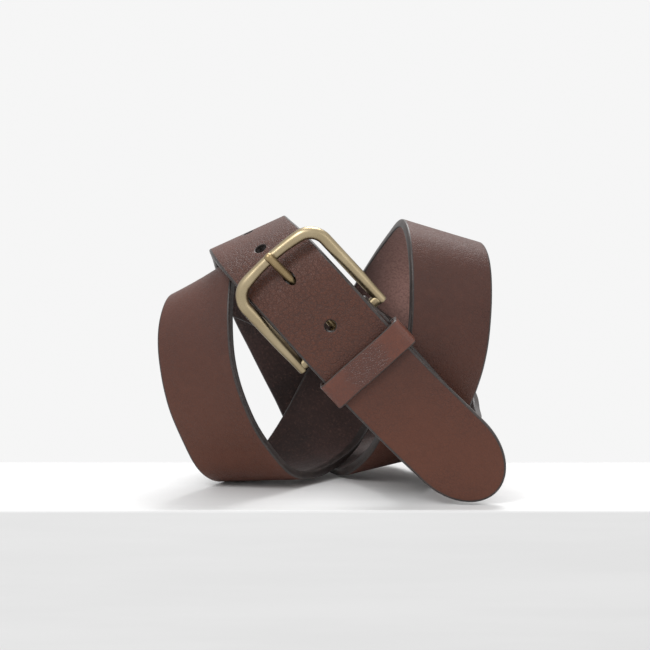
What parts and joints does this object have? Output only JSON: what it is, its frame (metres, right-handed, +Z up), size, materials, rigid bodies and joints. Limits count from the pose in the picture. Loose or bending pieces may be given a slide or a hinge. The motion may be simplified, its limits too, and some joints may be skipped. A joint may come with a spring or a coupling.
{
  "type": "leather belt",
  "caption": "Coiled single-ply leather belt, buckled through an antique brass frame with a prong, its tail held in a sliding leather keeper.",
  "frame": {"origin": "on the floor under the middle of the object's box", "axes": "+Z up, the buckle faces -Y, +X to the buckle's right as seen"},
  "size_m": [0.155, 0.1076, 0.1234],
  "materials": {
    "strap_leather": "matte pebbled brown grain with dark worn edges",
    "keeper_leather": "smooth reddish brown with a light gloss",
    "buckle_brass": "antique, brushed, darker in the recesses",
    "rivet_brass": "antique satin",
    "staple_steel": "satin wire"
  },
  "bodies": {
    "belt": {"strap": "strap_leather", "rivet_posts": "rivet_brass", "rivet_caps": "rivet_brass"},
    "frame": {"buckle_frame": "buckle_brass"},
    "prong_body": {"prong": "buckle_brass"},
    "keeper_body": {"keeper": "keeper_leather", "keeper_staple": "staple_steel"}
  },
  "joints": [
    {"name": "frame_hinge", "type": "hinge", "parent": "belt", "child": "frame", "pos_m": [0.0044, -0.04108, 0.0758], "axis": [0.7431, 0, 0.6691], "range_deg": [0, 1]},
    {"name": "prong_hinge", "type": "hinge", "parent": "frame", "child": "prong_body", "pos_m": [0.0044, -0.04108, 0.0758], "axis": [0.7431, 0, 0.6691], "range_deg": [0, 0.8]},
    {"name": "keeper_slide", "type": "slide", "parent": "belt", "child": "keeper_body", "axis": [0.6691, 0, -0.7431], "range_m": [-0.0025, 0.0025]}
  ]
}
